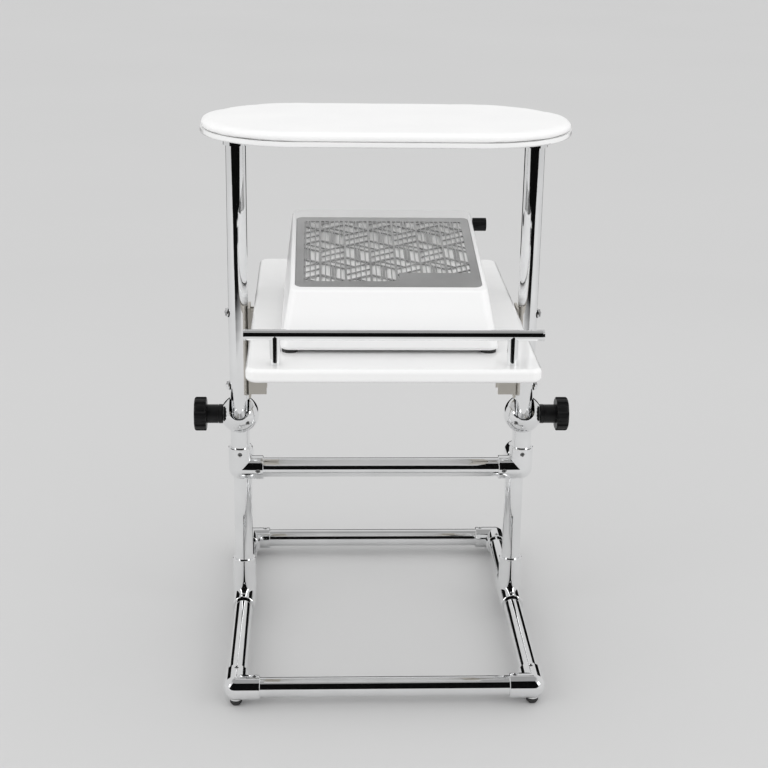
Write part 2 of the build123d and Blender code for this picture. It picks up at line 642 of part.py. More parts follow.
with BuildPart() as wood_screws:
    for screw_x, screw_y, seat_z, board_z in wood_screw_places:
        head_r, head_height = WOOD_SCREW_HEAD
        with BuildSketch(Plane(origin=(screw_x, screw_y, seat_z))):
            Circle(WOOD_SCREW_R)
        extrude(amount=board_z - seat_z + WOOD_SCREW_BITE)
        with BuildSketch(Plane(origin=(screw_x, screw_y, seat_z), z_dir=DOWN)):
            Circle(head_r)
        extrude(amount=head_height, taper=WOOD_SCREW_HEAD_TAPER)
        with BuildSketch(Plane(origin=(screw_x, screw_y, seat_z - head_height))):
            Rectangle(*WOOD_SCREW_CROSS)
            Rectangle(*reversed(WOOD_SCREW_CROSS))
        extrude(amount=WOOD_SCREW_CROSS_DEPTH, mode=Mode.SUBTRACT)
save(wood_screws, "wood_screws")

rail_start = (-RAIL_HALF, RAIL_Y, RAIL_Z)
rail_end = (RAIL_HALF, RAIL_Y, RAIL_Z)
tube("rail_tube", rail_start, rail_end, radius=RAIL_R, wall=RAIL_WALL)

with BuildPart() as rail_end_caps:
    for _, sign in SIDES:
        outward = (sign, 0, 0)
        cap_seat = (sign * RAIL_HALF, RAIL_Y, RAIL_Z)
        with BuildSketch(Plane(origin=cap_seat, z_dir=outward)):
            Circle(RAIL_R + RAIL_CAP_RIM)
        extrude(amount=RAIL_CAP_THICK, taper=RAIL_CAP_TAPER)
        with BuildSketch(Plane(origin=cap_seat, z_dir=(-sign, 0, 0))):
            Circle(RAIL_CAP_PLUG[0])
        extrude(amount=RAIL_CAP_PLUG[1])
save(rail_end_caps, "rail_end_caps")

with BuildPart() as rail_standoffs:
    with BuildSketch(Plane.XY.offset(SHELF_TOP)):
        with Locations((-STANDOFF_X, RAIL_Y), (STANDOFF_X, RAIL_Y)):
            Circle(RAIL_R)
    extrude(amount=RAIL_Z - SHELF_TOP)
    with BuildSketch(Plane(origin=rail_start, z_dir=(1, 0, 0))):
        Circle(RAIL_R)
    extrude(amount=2 * RAIL_HALF, mode=Mode.SUBTRACT)
save(rail_standoffs, "rail_standoffs")


# --- Dust collector ---------------------------------------------------------------------

def dial_plane(x):
    """A plane across the speed control's axis, x from the collector's middle."""
    return Plane(origin=(COLLECTOR_X + x, KNOB_Y, KNOB_Z), z_dir=(1, 0, 0))


with BuildPart() as collector_body:
    with BuildSketch(Plane.XY.offset(SHELL_BOTTOM)):
        with Locations((COLLECTOR_X, COLLECTOR_Y)):
            RectangleRounded(*SHELL_BASE, SHELL_CORNER_R)
    with BuildSketch(TOP_PLANE):
        RectangleRounded(SHELL_TOP_WIDTH, TOP_LENGTH, SHELL_CORNER_R)
    loft()
    top_face = collector_body.faces().filter_by(
        lambda face: abs(face.normal_at().dot(TOP_PLANE.z_dir)) > 0.999
    )
    fillet(top_face.edges(), SHELL_EDGE_R)
    with BuildSketch(Plane.XY.offset(SHELL_BOTTOM)):
        with Locations((COLLECTOR_X, COLLECTOR_Y)):
            RectangleRounded(
                SHELL_BASE[0] - 2 * SHELL_WALL,
                SHELL_BASE[1] - 2 * SHELL_WALL,
                SHELL_CORNER_R - SHELL_WALL,
            )
    with BuildSketch(TOP_PLANE.offset(-SHELL_WALL)):
        RectangleRounded(
            SHELL_TOP_WIDTH - 2 * SHELL_WALL,
            TOP_LENGTH - 2 * SHELL_WALL,
            SHELL_CORNER_R - SHELL_WALL,
        )
    loft(mode=Mode.SUBTRACT)
    # Filter tray under the window, open at the top, with a ledge all round at its foot
    with BuildSketch(GRILLE_PLANE.offset(-SHELL_WALL)):
        RectangleRounded(
            FILTER_SIZE[0] + 2 * TRAY_WALL, FILTER_SIZE[1] + 2 * TRAY_WALL, TRAY_CORNER_R
        )
    extrude(amount=-FILTER_DEPTH)
    with BuildSketch(GRILLE_PLANE):
        RectangleRounded(
            GRILLE_SIZE[0] + 2 * GRILLE_ROOM,
            GRILLE_SIZE[1] + 2 * GRILLE_ROOM,
            GRILLE_CORNER_R + GRILLE_ROOM,
        )
    extrude(amount=-GRILLE_THICK, mode=Mode.SUBTRACT)
    with BuildSketch(GRILLE_PLANE):
        RectangleRounded(*FILTER_SIZE, FILTER_CORNER_R)
    extrude(amount=-(SHELL_WALL + FILTER_DEPTH - TRAY_WALL), mode=Mode.SUBTRACT)
    with BuildSketch(GRILLE_PLANE):
        Rectangle(FILTER_SIZE[0] - 2 * FILTER_LEDGE, FILTER_SIZE[1] - 2 * FILTER_LEDGE)
    extrude(amount=-(SHELL_WALL + FILTER_DEPTH), mode=Mode.SUBTRACT)
    # Exhaust slots and inlet opening in the rear wall
    with BuildSketch(VENT_PLANE):
        with GridLocations(VENT_PITCH, 1, VENTS, 1):
            SlotOverall(*VENT_SIZE, rotation=90)
    extrude(amount=WALL_CUT, both=True, mode=Mode.SUBTRACT)
    with BuildSketch(INLET_PLANE):
        Rectangle(INLET_SIZE[0] + INLET_ROOM, INLET_SIZE[1] + INLET_ROOM)
    extrude(amount=WALL_CUT, both=True, mode=Mode.SUBTRACT)
    # Hole for the speed control's bush
    with BuildSketch(dial_plane(CONTROL_X[1])):
        Circle(BUSH_R + BUSH_ROOM)
    extrude(amount=WALL_CUT, mode=Mode.SUBTRACT)
save(collector_body, "collector_body")

with BuildPart() as collector_floor:
    with BuildSketch(Plane.XY.offset(COLLECTOR_FLOOR)):
        with Locations((COLLECTOR_X, COLLECTOR_Y)):
            RectangleRounded(
                SHELL_BASE[0] - 2 * FLOOR_INSET,
                SHELL_BASE[1] - 2 * FLOOR_INSET,
                SHELL_CORNER_R - FLOOR_INSET,
            )
    extrude(amount=FLOOR_THICK)
    fillet(collector_floor.edges().group_by(Axis.Z)[0], FLOOR_EDGE_R)
save(collector_floor, "collector_floor")

with BuildPart() as collector_feet:
    with BuildSketch(Plane.XY.offset(SHELF_TOP)):
        with Locations((COLLECTOR_X, COLLECTOR_Y)):
            foot_spread = [side_length - 2 * COLLECTOR_FOOT_INSET for side_length in SHELL_BASE]
            with GridLocations(*foot_spread, 2, 2):
                Circle(COLLECTOR_FOOT_R)
    extrude(amount=COLLECTOR_FLOOR - SHELF_TOP)
save(collector_feet, "collector_feet")

with BuildPart() as filter_cartridge:
    with BuildSketch(FILTER_PLANE):
        RectangleRounded(*FILTER_FRAME, FILTER_FRAME_R)
        Rectangle(
            FILTER_FRAME[0] - 2 * FILTER_FRAME_WIDTH,
            FILTER_FRAME[1] - 2 * FILTER_FRAME_WIDTH,
            mode=Mode.SUBTRACT,
        )
    extrude(amount=FILTER_HEIGHT)
    pleat_length = FILTER_FRAME[1] - 2 * (FILTER_FRAME_WIDTH - PLEAT_OVERLAP)
    pleat_plane = Plane(
        origin=FILTER_PLANE.from_local_coords((0, -pleat_length / 2, 0)),
        x_dir=(1, 0, 0),
        z_dir=FILTER_PLANE.y_dir,
    )
    ridge = []
    for index in range(2 * PLEATS + 1):
        ridge_x = (index / 2 - PLEATS / 2) * PLEAT_WIDTH
        fold = PLEAT_LOW if index % 2 == 0 else FILTER_HEIGHT - PLEAT_SHEET
        ridge.append((ridge_x, -fold))
    with BuildSketch(pleat_plane):
        with BuildLine():
            Polyline(*ridge, *[(px, py - PLEAT_SHEET) for px, py in reversed(ridge)], close=True)
        make_face()
    extrude(amount=pleat_length)
save(filter_cartridge, "filter_cartridge")

with BuildPart() as fan_motor:
    with BuildSketch(Plane(origin=(COLLECTOR_X, MOTOR_Y, SHELL_BOTTOM))):
        Circle(MOTOR_R)
    extrude(amount=MOTOR_HEIGHT)
    fillet(fan_motor.edges().group_by(Axis.Z)[-1], MOTOR_EDGE_R)
    with BuildSketch(Plane(origin=(COLLECTOR_X, MOTOR_Y, SHELL_BOTTOM + MOTOR_HEIGHT))):
        Circle(MOTOR_BOSS[0])
    extrude(amount=MOTOR_BOSS[1])
    with BuildSketch(Plane(origin=(COLLECTOR_X, MOTOR_Y, SHELL_BOTTOM))):
        with PolarLocations(MOTOR_EAR_RING_R, 3):
            Circle(MOTOR_EAR_R)
    extrude(amount=MOTOR_EAR_THICK)
    with BuildSketch(Plane(origin=(COLLECTOR_X, MOTOR_Y, SHELL_BOTTOM + MOTOR_EAR_THICK))):
        Circle(FAN_SHAFT_R + SHAFT_ROOM)
    extrude(amount=MOTOR_HEIGHT + MOTOR_BOSS[1], mode=Mode.SUBTRACT)
save(fan_motor, "fan_motor")

with BuildPart() as fan_impeller:
    with BuildSketch(Plane(origin=(COLLECTOR_X, MOTOR_Y, FAN_BOTTOM))):
        Circle(FAN_R)
    extrude(amount=FAN_DISC_THICK)
    with BuildSketch(Plane(origin=(COLLECTOR_X, MOTOR_Y, FAN_BOTTOM))):
        Circle(FAN_HUB_R)
    extrude(amount=FAN_DEPTH)
    with BuildSketch(Plane(origin=(COLLECTOR_X, MOTOR_Y, FAN_BOTTOM))):
        with PolarLocations(FAN_BLADE_RING_R, FAN_BLADES):
            Rectangle(*FAN_BLADE, rotation=FAN_BLADE_TURN)
    extrude(amount=FAN_DEPTH)
    with BuildSketch(Plane(origin=(COLLECTOR_X, MOTOR_Y, FAN_SHAFT_BOTTOM))):
        Circle(FAN_SHAFT_R)
    extrude(amount=FAN_BOTTOM - FAN_SHAFT_BOTTOM)
save(fan_impeller, "fan_impeller")

with BuildPart() as power_inlet:
    with BuildSketch(INLET_PLANE):
        RectangleRounded(*INLET_SIZE, INLET_CORNER_R)
    extrude(amount=-INLET_DEPTH)
    with BuildSketch(INLET_PLANE):
        RectangleRounded(*INLET_RECESS, INLET_RECESS_R)
    extrude(amount=-INLET_RECESS_DEPTH, mode=Mode.SUBTRACT)
    with BuildSketch(INLET_PLANE.offset(-INLET_RECESS_DEPTH)):
        with Locations(*INLET_PINS):
            Rectangle(INLET_PIN[0], INLET_PIN[1])
    extrude(amount=INLET_PIN[2])
save(power_inlet, "power_inlet")

with BuildPart() as speed_control:
    with BuildSketch(dial_plane(CONTROL_X[0])):
        Circle(CONTROL_R)
    extrude(amount=CONTROL_X[1] - CONTROL_X[0])
    with BuildSketch(dial_plane(CONTROL_X[1])):
        Circle(BUSH_R)
    extrude(amount=BUSH_END_X - CONTROL_X[1])
    with BuildSketch(dial_plane(CONTROL_X[0] + 2)):
        Circle(DIAL_SHAFT_R + SHAFT_ROOM)
    extrude(amount=BUSH_END_X - CONTROL_X[0], mode=Mode.SUBTRACT)
save(speed_control, "speed_control")

with BuildPart() as speed_knob:
    with BuildSketch(dial_plane(KNOB_WALL_X)):
        Circle(KNOB_R)
        with PolarLocations(KNOB_R + KNOB_TOOTH[1], KNOB_TEETH):
            Circle(KNOB_TOOTH[0], mode=Mode.SUBTRACT)
    extrude(amount=KNOB_LENGTH)
    knob_end = speed_knob.faces().sort_by(Axis.X)[-1]
    chamfer(knob_end.edges(), KNOB_CHAMFER)
    with BuildSketch(dial_plane(CONTROL_X[0] + 2.5)):
        Circle(DIAL_SHAFT_R)
    extrude(amount=KNOB_WALL_X - CONTROL_X[0])
    with BuildSketch(dial_plane(KNOB_WALL_X + KNOB_LENGTH)):
        with Locations((0, KNOB_R / 2)):
            Rectangle(KNOB_MARK[0], KNOB_MARK[1])
    extrude(amount=-KNOB_MARK[2], mode=Mode.SUBTRACT)
save(speed_knob, "speed_knob")


# --- Grille: tumbling blocks of bars in a stainless plate -------------------------------

def bars(length, width, middle, angle):
    """Bars of the same shape at every block of the pattern, left standing in the window."""
    with Locations(*hex_centres):
        with Locations(Location((*middle, 0), (0, 0, angle))):
            Rectangle(length, width, mode=Mode.SUBTRACT)


hex_centres = []
for column in range(-1, 8):
    stagger = 0 if column % 2 == 0 else 1.5 * HEX_SIDE
    for row in (-2, -1, 0, 1):
        centre_x = FIRST_COLUMN_X + column * COLUMN_PITCH
        hex_centres.append((centre_x, FIRST_HEX_Y + stagger + 3 * HEX_SIDE * row))

column_xs = [FIRST_COLUMN_X + column * COLUMN_PITCH for column in range(0, 6)]
hatch_xs = []
for column in range(-1, 6):
    for part in (1, 2, 3, 4):
        hatch_xs.append(FIRST_COLUMN_X + (column + part / 5) * COLUMN_PITCH)
half = COLUMN_PITCH / 2
quarter = HEX_SIDE / 4
window_right = GRILLE_WINDOW[0] / 2
window_foot = GRILLE_WINDOW_SHIFT - GRILLE_WINDOW[1] / 2

with BuildPart() as grille:
    with BuildSketch(GRILLE_PLANE.offset(-GRILLE_THICK)):
        RectangleRounded(*GRILLE_SIZE, GRILLE_CORNER_R)
    extrude(amount=GRILLE_THICK)
    chamfer(grille.faces().sort_by(Axis.Z)[-1].edges(), GRILLE_EDGE)
    with BuildSketch(GRILLE_PLANE.offset(-GRILLE_THICK)) as openings:
        with Locations((0, GRILLE_WINDOW_SHIFT)):
            RectangleRounded(*GRILLE_WINDOW, GRILLE_WINDOW_CORNER_R)
        with Locations(*[(x, 0) for x in column_xs]):
            Rectangle(COLUMN_BAR, GRILLE_SIZE[1], mode=Mode.SUBTRACT)
        with Locations(*[(x, 0) for x in hatch_xs]):
            Rectangle(HATCH_BAR, GRILLE_SIZE[1], mode=Mode.SUBTRACT)
        bars(HEX_SIDE + 2, BLOCK_TOP_BAR, (half, 3 * quarter), -30)
        bars(HEX_SIDE + 2, BLOCK_TOP_BAR, (-half, 3 * quarter), 30)
        bars(HEX_SIDE, BLOCK_FOOT_BAR, (half, quarter), 30)
        bars(HEX_SIDE, BLOCK_FOOT_BAR, (-half, quarter), -30)
        bars(HEX_SIDE, SHELF_LINE_BAR, (half, -quarter), 30)
        bars(HEX_SIDE, SHELF_LINE_BAR, (-0.3 * half, 1.7 * quarter), -30)
        bars(HEX_SIDE, COLUMN_BAR, (-half, -quarter), 90)
        with Locations((window_right - PLAIN_PATCH[0] / 2, window_foot + PLAIN_PATCH[1] / 2)):
            Rectangle(*PLAIN_PATCH, mode=Mode.SUBTRACT)
    extrude(amount=GRILLE_THICK, mode=Mode.SUBTRACT)
save(grille, "grille")


# --- Set screws in the castings and balls -----------------------------------------------

with BuildPart() as set_screws:
    for seat, direction in set_screw_places:
        head = along(seat, direction, -SET_SCREW_SUNK)
        with BuildSketch(Plane(origin=head, z_dir=direction)):
            Circle(SET_SCREW_R)
        extrude(amount=-SET_SCREW_LENGTH)
        with BuildSketch(Plane(origin=head, z_dir=direction)):
            RegularPolygon(SET_SCREW_KEY_R, 6)
        extrude(amount=-SET_SCREW_KEY_DEPTH, mode=Mode.SUBTRACT)
save(set_screws, "set_screws")
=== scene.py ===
import math

import bmesh
import bpy
from mathutils import Matrix, Vector


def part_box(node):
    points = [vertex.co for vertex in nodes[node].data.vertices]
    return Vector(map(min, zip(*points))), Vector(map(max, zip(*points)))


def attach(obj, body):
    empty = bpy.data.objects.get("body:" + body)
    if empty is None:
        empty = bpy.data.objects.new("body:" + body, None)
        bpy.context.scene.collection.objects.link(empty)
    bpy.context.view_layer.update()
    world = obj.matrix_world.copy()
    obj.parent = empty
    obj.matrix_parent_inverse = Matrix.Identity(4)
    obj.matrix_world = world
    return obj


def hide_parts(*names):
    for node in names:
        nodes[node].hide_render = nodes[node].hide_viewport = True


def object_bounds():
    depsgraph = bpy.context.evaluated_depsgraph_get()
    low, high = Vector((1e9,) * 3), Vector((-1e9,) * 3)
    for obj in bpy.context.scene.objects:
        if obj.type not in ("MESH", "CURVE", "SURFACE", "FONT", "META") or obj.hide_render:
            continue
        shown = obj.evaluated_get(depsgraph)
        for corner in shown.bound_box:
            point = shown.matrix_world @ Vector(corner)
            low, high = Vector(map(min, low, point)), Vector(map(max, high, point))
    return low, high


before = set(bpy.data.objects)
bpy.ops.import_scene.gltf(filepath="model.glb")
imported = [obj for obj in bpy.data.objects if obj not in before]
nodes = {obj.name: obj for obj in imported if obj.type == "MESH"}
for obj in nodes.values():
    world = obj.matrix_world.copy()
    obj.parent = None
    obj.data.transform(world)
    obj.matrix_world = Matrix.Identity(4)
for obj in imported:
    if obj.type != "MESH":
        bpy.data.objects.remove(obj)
cad_low, cad_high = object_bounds()


# ---------------------------------------------------------------- shader helpers
def new_material(name, metallic=0.0):
    material = bpy.data.materials.new(name)
    material.use_nodes = True
    tree = material.node_tree
    shader = tree.nodes["Principled BSDF"]
    shader.inputs["Metallic"].default_value = metallic
    return material, tree, shader


def surface_place(tree, stretch=(1, 1, 1)):
    """The object's own coordinates in metres, squeezed or stretched along each axis."""
    place = tree.nodes.new("ShaderNodeTexCoord")
    mapping = tree.nodes.new("ShaderNodeMapping")
    mapping.inputs["Scale"].default_value = stretch
    tree.links.new(place.outputs["Object"], mapping.inputs["Vector"])
    return mapping.outputs["Vector"]


def noise(tree, place, per_metre, detail=3.0, roughness=0.5):
    node = tree.nodes.new("ShaderNodeTexNoise")
    node.inputs["Scale"].default_value = per_metre
    node.inputs["Detail"].default_value = detail
    node.inputs["Roughness"].default_value = roughness
    tree.links.new(place, node.inputs["Vector"])
    return node.outputs["Fac"]


def cells(tree, place, per_metre):
    """Rounded cells that run softly into each other."""
    node = tree.nodes.new("ShaderNodeTexVoronoi")
    node.feature = "SMOOTH_F1"
    node.inputs["Scale"].default_value = per_metre
    tree.links.new(place, node.inputs["Vector"])
    return node.outputs["Distance"]


def spread(tree, source, low, high, start=0.3, end=0.7):
    """Maps a pattern's middle range to low ... high."""
    node = tree.nodes.new("ShaderNodeMapRange")
    node.inputs["From Min"].default_value = start
    node.inputs["From Max"].default_value = end
    node.inputs["To Min"].default_value = low
    node.inputs["To Max"].default_value = high
    tree.links.new(source, node.inputs["Value"])
    return node.outputs["Result"]


def vary_colour(tree, shader, source, colour, other):
    mix = tree.nodes.new("ShaderNodeMix")
    mix.data_type = "RGBA"
    mix.inputs["A"].default_value = (*colour, 1)
    mix.inputs["B"].default_value = (*other, 1)
    tree.links.new(spread(tree, source, 0, 1), mix.inputs["Factor"])
    tree.links.new(mix.outputs["Result"], shader.inputs["Base Color"])


def vary_roughness(tree, shader, source, low, high):
    tree.links.new(spread(tree, source, low, high), shader.inputs["Roughness"])


def bump(tree, shader, source, depth, under=None):
    """Relief depth metres deep; under is an earlier relief's normal."""
    node = tree.nodes.new("ShaderNodeBump")
    node.inputs["Strength"].default_value = 1.0
    node.inputs["Distance"].default_value = depth
    tree.links.new(source, node.inputs["Height"])
    if under is not None:
        tree.links.new(under, node.inputs["Normal"])
    tree.links.new(node.outputs["Normal"], shader.inputs["Normal"])
    return node.outputs["Normal"]


# ---------------------------------------------------------------- materials
def chrome_plate():
    """Bright chrome over drawn tube: a mirror with a faint waviness and wiped smears."""
    material, tree, shader = new_material("chrome_plate", metallic=1.0)
    place = surface_place(tree)
    vary_colour(tree, shader, noise(tree, place, 22), (0.86, 0.865, 0.87), (0.93, 0.935, 0.94))
    vary_roughness(tree, shader, noise(tree, place, 130, 5), 0.02, 0.06)
    bump(tree, shader, noise(tree, place, 45, 1), 0.00005)
    return material


def zinc_plate():
    """Zinc-plated steel: a warm grey, rolled along its length."""
    material, tree, shader = new_material("zinc_plate", metallic=1.0)
    grain = noise(tree, surface_place(tree, (1, 0.08, 1)), 900, 4)
    cloud = noise(tree, surface_place(tree), 60, 4)
    vary_colour(tree, shader, cloud, (0.655, 0.625, 0.57), (0.69, 0.66, 0.605))
    vary_roughness(tree, shader, cloud, 0.32, 0.37)
    bump(tree, shader, grain, 0.00003)
    return material


def black_moulding():
    """Satin moulded black plastic with a fine spark-eroded texture."""
    material, tree, shader = new_material("black_moulding")
    place = surface_place(tree)
    vary_colour(tree, shader, noise(tree, place, 70), (0.004, 0.004, 0.0045), (0.009, 0.009, 0.0095))
    vary_roughness(tree, shader, noise(tree, place, 220, 4), 0.30, 0.42)
    bump(tree, shader, noise(tree, place, 2600, 2), 0.00002)
    shader.inputs["Specular IOR Level"].default_value = 0.25
    return material


def blackened_steel():
    """Oil-blackened screws with a worn sheen."""
    material, tree, shader = new_material("blackened_steel", metallic=1.0)
    place = surface_place(tree)
    vary_colour(tree, shader, noise(tree, place, 400, 3), (0.18, 0.18, 0.18), (0.30, 0.30, 0.30))
    vary_roughness(tree, shader, noise(tree, place, 900, 3), 0.3, 0.5)
    return material


def foot_rubber():
    """Dull black rubber, dusted grey in patches."""
    material, tree, shader = new_material("foot_rubber")
    place = surface_place(tree)
    vary_colour(tree, shader, noise(tree, place, 120, 4), (0.018, 0.018, 0.019), (0.04, 0.039, 0.038))
    vary_roughness(tree, shader, noise(tree, place, 300, 4), 0.7, 0.88)
    bump(tree, shader, noise(tree, place, 1500, 3), 0.00006)
    return material


def board_lacquer():
    """White sprayed lacquer on board: an orange peel a few millimetres across."""
    material, tree, shader = new_material("board_lacquer")
    place = surface_place(tree)
    vary_colour(tree, shader, noise(tree, place, 8), (0.85, 0.85, 0.85), (0.875, 0.875, 0.872))
    vary_roughness(tree, shader, noise(tree, place, 40, 3), 0.16, 0.24)
    bump(tree, shader, noise(tree, place, 320, 2), 0.00002)
    shader.inputs["Coat Weight"].default_value = 0.3
    shader.inputs["Coat Roughness"].default_value = 0.08
    return material


def white_moulding():
    """Semi-gloss moulded ABS."""
    material, tree, shader = new_material("white_moulding")
    place = surface_place(tree)
    vary_colour(tree, shader, noise(tree, place, 12), (0.835, 0.835, 0.836), (0.84, 0.84, 0.84))
    vary_roughness(tree, shader, noise(tree, place, 60, 3), 0.275, 0.29)
    bump(tree, shader, noise(tree, place, 700, 1), 0.000001)
    return material


def white_leatherette():
    """Vinyl leathercloth: pebbled grain about a millimetre across with fine wrinkles between."""
    material, tree, shader = new_material("white_leatherette")
    place = surface_place(tree)
    vary_colour(tree, shader, noise(tree, place, 14, 4), (0.85, 0.85, 0.85), (0.88, 0.88, 0.877))
    vary_roughness(tree, shader, noise(tree, place, 240, 4), 0.34, 0.46)
    soft = bump(tree, shader, noise(tree, place, 26, 2), 0.00025)
    bump(tree, shader, cells(tree, place, 950), 0.00006, under=soft)
    shader.inputs["Sheen Weight"].default_value = 0.05
    return material


def brushed_stainless():
    """Brushed sheet: fine lines across the grille's width."""
    material, tree, shader = new_material("brushed_stainless", metallic=1.0)
    lines = noise(tree, surface_place(tree, (0.02, 1, 1)), 1800, 4, 0.6)
    cloud = noise(tree, surface_place(tree), 18, 3)
    vary_colour(tree, shader, cloud, (0.50, 0.50, 0.50), (0.58, 0.58, 0.58))
    vary_roughness(tree, shader, lines, 0.28, 0.44)
    bump(tree, shader, lines, 0.00003)
    return material


def filter_paper():
    """White pleated paper with a felted surface."""
    material, tree, shader = new_material("filter_paper")
    place = surface_place(tree)
    vary_colour(tree, shader, noise(tree, place, 300, 6, 0.7), (0.945, 0.945, 0.94), (0.975, 0.975, 0.97))
    vary_roughness(tree, shader, noise(tree, place, 500, 4), 0.8, 0.95)
    bump(tree, shader, noise(tree, place, 1400, 6, 0.7), 0.00012)
    return material


def motor_steel():
    """Drawn steel, its marks running along the shaft."""
    material, tree, shader = new_material("motor_steel", metallic=1.0)
    grain = noise(tree, surface_place(tree, (1, 1, 0.1)), 1200, 3)
    vary_colour(tree, shader, noise(tree, surface_place(tree), 90, 4), (0.40, 0.40, 0.41), (0.52, 0.52, 0.53))
    vary_roughness(tree, shader, grain, 0.3, 0.45)
    bump(tree, shader, grain, 0.00003)
    return material


FINISHES = {
    "chrome": chrome_plate(),
    "zinc_steel": zinc_plate(),
    "black_oxide": blackened_steel(),
    "black_plastic": black_moulding(),
    "rubber": foot_rubber(),
    "white_lacquer": board_lacquer(),
    "white_leatherette": white_leatherette(),
    "white_abs": white_moulding(),
    "stainless": brushed_stainless(),
    "filter_paper": filter_paper(),
    "motor_case": motor_steel(),
}


def finish_cad_nodes():
    """Each node keeps its shape and takes the finish that its packed slot names."""
    for node in nodes.values():
        for place in node.material_slots:
            place.material = FINISHES[place.material.name.split(".")[0]]


finish_cad_nodes()


# ---------------------------------------------------------------- the arm pad
PAD_VOXEL = 0.0026
PAD_START_INSET = 0.0012    # the swelling pad starts this much smaller all round
PAD_RISE = 0.0014           # and no point moves further than this
PAD_FOOT_DRAW = 0.0010      # the outline is drawn in by this at the foot
PAD_TOP_DRAW = 0.0022       # and by this at the top edge
PAD_PRESSURE = 4.0
PAD_SMOOTHING = 2
SETTLE_FRAMES = 20
END_STEPS = 40              # segments in each rounded end


def stadium(length, width, centre, height):
    """A closed outline with straight long sides and half-round ends."""
    radius = width / 2
    straight = length / 2 - radius
    points = []
    for side in (1, -1):
        for step in range(END_STEPS + 1):
            turn = math.pi * step / END_STEPS - math.pi / 2
            across = side * (straight + radius * math.cos(turn))
            deep = side * radius * math.sin(turn)
            points.append(Vector((centre.x + across, centre.y + deep, height)))
    return points


def pad_blank(name, low, high):
    """The pad before it swells: outlines one above the other, drawn in at the top and the foot."""
    centre = (low + high) / 2
    length = high.x - low.x - 2 * PAD_START_INSET
    width = high.y - low.y - 2 * PAD_START_INSET
    thick = high.z - low.z
    top = thick - PAD_RISE
    # Each outline's height over the foot, and how far it is drawn in
    layers = [
        (0, PAD_FOOT_DRAW),
        (0.25 * thick, 0),
        (top - 2 * PAD_TOP_DRAW, 0),
        (top - 0.6 * PAD_TOP_DRAW, 0.4 * PAD_TOP_DRAW),
        (top, 2 * PAD_TOP_DRAW),
    ]
    mesh = bmesh.new()
    rings = []
    for rise, draw_in in layers:
        outline = stadium(length - 2 * draw_in, width - 2 * draw_in, centre, low.z + rise)
        rings.append([mesh.verts.new(point) for point in outline])
    for lower, upper in zip(rings, rings[1:]):
        for index in range(len(lower)):
            after = (index + 1) % len(lower)
            mesh.faces.new((lower[index], lower[after], upper[after], upper[index]))
    mesh.faces.new(list(reversed(rings[0])))
    mesh.faces.new(rings[-1])
    bmesh.ops.recalc_face_normals(mesh, faces=mesh.faces)
    data = bpy.data.meshes.new(name)
    mesh.to_mesh(data)
    mesh.free()
    pad = bpy.data.objects.new(name, data)
    bpy.context.scene.collection.objects.link(pad)
    return pad


def apply_modifiers(piece):
    """Writes what the modifiers make into the piece's own mesh."""
    evaluated = piece.evaluated_get(bpy.context.evaluated_depsgraph_get())
    settled = bpy.data.meshes.new_from_object(evaluated)
    piece.modifiers.clear()
    piece.data = settled


def remesh(piece, voxel):
    modifier = piece.modifiers.new("remesh", "REMESH")
    modifier.mode = "VOXEL"
    modifier.voxel_size = voxel
    apply_modifiers(piece)


def swell(piece, pressure, furthest):
    """Blows the closed skin up like an air cushion, then holds every point near its start."""
    start = [vertex.co.copy() for vertex in piece.data.vertices]
    modifier = piece.modifiers.new("swell", "CLOTH")
    modifier.settings.use_pressure = True
    modifier.settings.uniform_pressure_force = pressure
    modifier.settings.effector_weights.gravity = 0
    modifier.point_cache.frame_start = 1
    modifier.point_cache.frame_end = SETTLE_FRAMES
    for number in range(1, SETTLE_FRAMES + 1):
        bpy.context.scene.frame_set(number)
    apply_modifiers(piece)
    for vertex, before in zip(piece.data.vertices, start):
        moved = vertex.co - before
        if moved.length > furthest:
            vertex.co = before + moved * (furthest / moved.length)
    bpy.context.scene.frame_set(1)


def settle_in_box(piece, low, high):
    """Nothing reaches past the space that the CAD pad holds, so it lies flat on its board."""
    for vertex in piece.data.vertices:
        vertex.co = [max(a, min(b, c)) for a, b, c in zip(low, high, vertex.co)]


def smooth_points(piece, rounds):
    mesh = bmesh.new()
    mesh.from_mesh(piece.data)
    for _ in range(rounds):
        bmesh.ops.smooth_vert(
            mesh, verts=mesh.verts, factor=0.5, use_axis_x=True, use_axis_y=True, use_axis_z=True
        )
    mesh.to_mesh(piece.data)
    mesh.free()


def build_pad():
    low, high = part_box("top_pad")
    pad = pad_blank("leatherette_pad", low, high)
    remesh(pad, PAD_VOXEL)
    swell(pad, PAD_PRESSURE, PAD_RISE)
    smooth_points(pad, PAD_SMOOTHING)
    settle_in_box(pad, low, high)
    modifier = pad.modifiers.new("skin", "SUBSURF")
    modifier.levels = 1
    modifier.render_levels = 1
    apply_modifiers(pad)
    for face in pad.data.polygons:
        face.use_smooth = True
    pad.data.materials.clear()
    pad.data.materials.append(FINISHES["white_leatherette"])
    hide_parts("top_pad")
    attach(pad, "upper_frame")


build_pad()


# ---------------------------------------------------------------- studio
FLOOR_HALF = 14.0
FLAG_STEPS = 16
FLAG_FADE = 0.45            # a flag's near edge fades in over this distance
